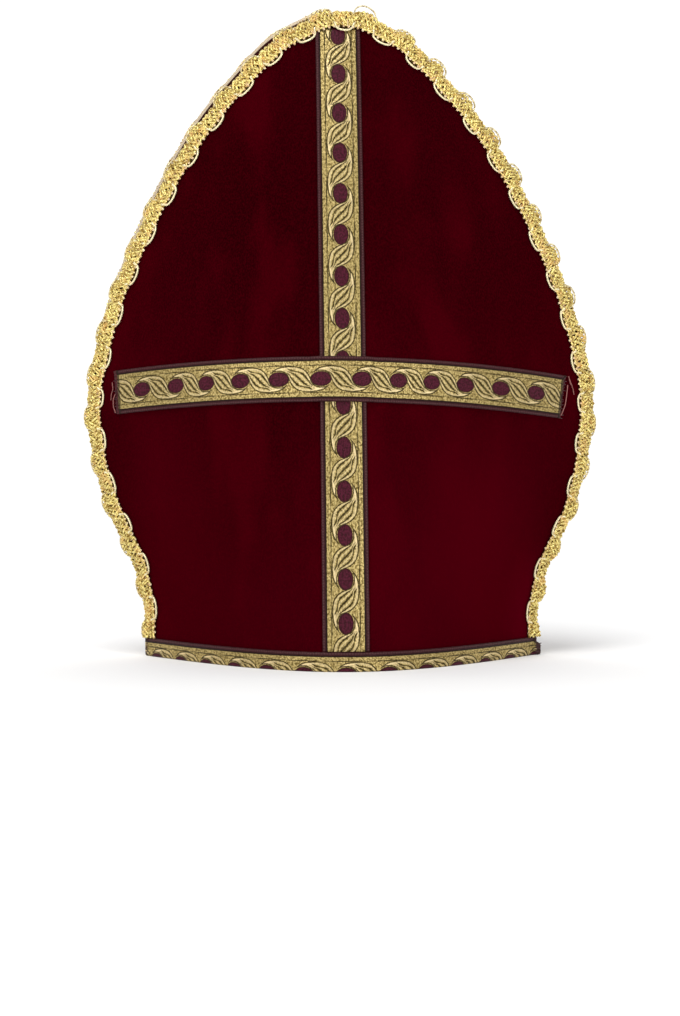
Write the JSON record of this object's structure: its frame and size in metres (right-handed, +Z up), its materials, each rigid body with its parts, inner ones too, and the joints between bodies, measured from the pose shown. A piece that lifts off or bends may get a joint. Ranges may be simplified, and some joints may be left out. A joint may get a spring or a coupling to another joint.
{
  "type": "bishop mitre",
  "caption": "Tall pointed bishop's mitre: two stiff velvet horns joined at the sides, with ribbon cross, ribbon rim and scalloped braid edge.",
  "frame": {"origin": "on the surface that the rim stands on, under the middle of the head opening", "axes": "+Z up through the peaks, +X to the right of someone who faces the front, -Y out of the front"},
  "size_m": [0.2936, 0.1846, 0.3787],
  "materials": {
    "velvet": "deep wine-red velvet, very matt, faint sheen at grazing angles",
    "lining": "plain red lining cloth",
    "ribbon": "woven metallic gold ribbon with plum ovals, twisted bands and plum borders",
    "braid": "bright metallic gold braid on a pale core"
  },
  "bodies": {
    "root": {"front_panel": "velvet", "back_panel": "velvet", "gusset": "lining", "front_rim_ribbon": "ribbon", "back_rim_ribbon": "ribbon", "front_upright_ribbon": "ribbon", "back_upright_ribbon": "ribbon", "front_cross_ribbon": "ribbon", "back_cross_ribbon": "ribbon", "front_braid": "braid", "back_braid": "braid"}
  },
  "joints": []
}
